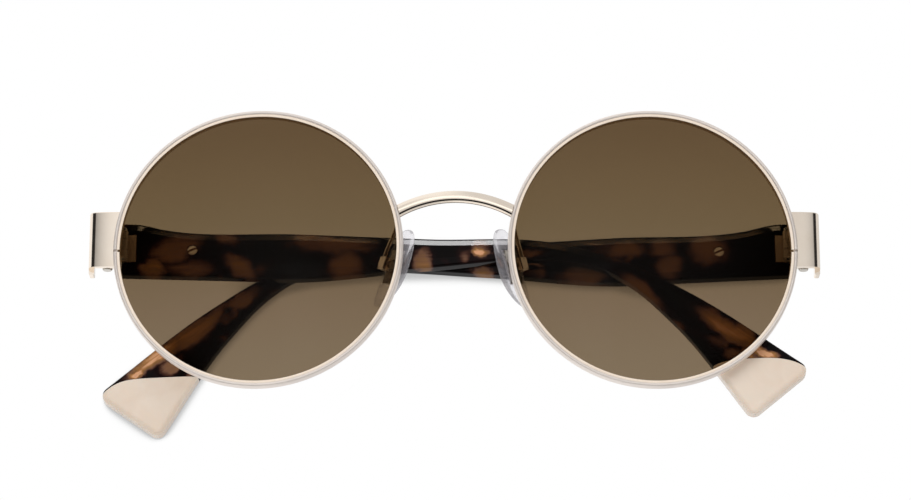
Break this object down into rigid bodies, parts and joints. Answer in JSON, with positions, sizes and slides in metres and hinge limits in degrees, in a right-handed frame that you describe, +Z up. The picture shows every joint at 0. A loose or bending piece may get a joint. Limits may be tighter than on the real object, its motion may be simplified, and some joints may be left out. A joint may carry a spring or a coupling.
{
  "type": "round sunglasses",
  "caption": "Round metal-rimmed sunglasses with brown lenses, nose pads on arms and folding acetate temples with cream tips.",
  "frame": {"origin": "middle of the bounding box at its lowest height, where the folded glasses lie on a table", "axes": "+X towards the wearer's left, +Y towards the top of the lenses, +Z up, the way the front faces when the folded glasses lie on their temples"},
  "size_m": [0.1364, 0.0604, 0.0172],
  "materials": {
    "bridge": "polished pale gold plating",
    "core_wire_l": "fine brushed",
    "core_wire_r": "fine brushed",
    "end_piece_l": "polished pale gold plating",
    "end_piece_r": "polished pale gold plating",
    "hinge_front_l": "polished pale gold plating",
    "hinge_front_r": "polished pale gold plating",
    "hinge_screw_l": "fine brushed",
    "hinge_screw_r": "fine brushed",
    "hinge_temple_l": "polished pale gold plating",
    "hinge_temple_r": "polished pale gold plating",
    "lens_l": "polished brown tinted lens",
    "lens_r": "polished brown tinted lens",
    "nose_pad_l": "clear silicone",
    "nose_pad_r": "clear silicone",
    "pad_arm_l": "polished pale gold plating",
    "pad_arm_r": "polished pale gold plating",
    "pad_insert_l": "fine brushed",
    "pad_insert_r": "fine brushed",
    "pad_screw_l": "fine brushed",
    "pad_screw_r": "fine brushed",
    "rim_l": "satin enamel over pale gold metal",
    "rim_lock_lower_l": "polished pale gold plating",
    "rim_lock_lower_r": "polished pale gold plating",
    "rim_lock_screw_l": "fine brushed",
    "rim_lock_screw_r": "fine brushed",
    "rim_lock_upper_l": "polished pale gold plating",
    "rim_lock_upper_r": "polished pale gold plating",
    "rim_r": "satin enamel over pale gold metal",
    "temple_l": "polished tortoise acetate",
    "temple_r": "polished tortoise acetate",
    "temple_rivet_l": "polished pale gold plating",
    "temple_rivet_r": "polished pale gold plating",
    "temple_tip_l": "polished cream acetate",
    "temple_tip_r": "polished cream acetate"
  },
  "bodies": {
    "front": {"bridge": "bridge", "end_piece_l": "end_piece_l", "end_piece_r": "end_piece_r", "hinge_front_l": "hinge_front_l", "hinge_front_r": "hinge_front_r", "hinge_screw_l": "hinge_screw_l", "hinge_screw_r": "hinge_screw_r", "lens_l": "lens_l", "lens_r": "lens_r", "pad_arm_l": "pad_arm_l", "pad_arm_r": "pad_arm_r", "pad_screw_l": "pad_screw_l", "pad_screw_r": "pad_screw_r", "rim_l": "rim_l", "rim_lock_lower_l": "rim_lock_lower_l", "rim_lock_lower_r": "rim_lock_lower_r", "rim_lock_screw_l": "rim_lock_screw_l", "rim_lock_screw_r": "rim_lock_screw_r", "rim_lock_upper_l": "rim_lock_upper_l", "rim_lock_upper_r": "rim_lock_upper_r", "rim_r": "rim_r"},
    "right_temple": {"temple_r": "temple_r", "temple_tip_r": "temple_tip_r", "core_wire_r": "core_wire_r", "hinge_temple_r": "hinge_temple_r", "temple_rivet_r": "temple_rivet_r"},
    "left_temple": {"temple_l": "temple_l", "temple_tip_l": "temple_tip_l", "core_wire_l": "core_wire_l", "hinge_temple_l": "hinge_temple_l", "temple_rivet_l": "temple_rivet_l"},
    "right_pad": {"nose_pad_r": "nose_pad_r", "pad_insert_r": "pad_insert_r"},
    "left_pad": {"nose_pad_l": "nose_pad_l", "pad_insert_l": "pad_insert_l"}
  },
  "joints": [
    {"name": "right_temple_hinge", "type": "hinge", "parent": "front", "child": "right_temple", "pos_m": [-0.06326, 0.00579, 0.00875], "axis": [0, 1, 0], "range_deg": [0, 94.5]},
    {"name": "left_temple_hinge", "type": "hinge", "parent": "front", "child": "left_temple", "pos_m": [0.06312, 0.00579, 0.005], "axis": [0, -1, 0], "range_deg": [0, 91]},
    {"name": "right_pad_pivot", "type": "hinge", "parent": "front", "child": "right_pad", "pos_m": [-0.01256, 0.00018, 0.01153], "axis": [-0.5751, 0.3299, -0.7486], "range_deg": [-5, 5]},
    {"name": "left_pad_pivot", "type": "hinge", "parent": "front", "child": "left_pad", "pos_m": [0.01179, 0.0001, 0.01081], "axis": [-0.551, -0.2951, 0.7806], "range_deg": [-5, 5]}
  ]
}
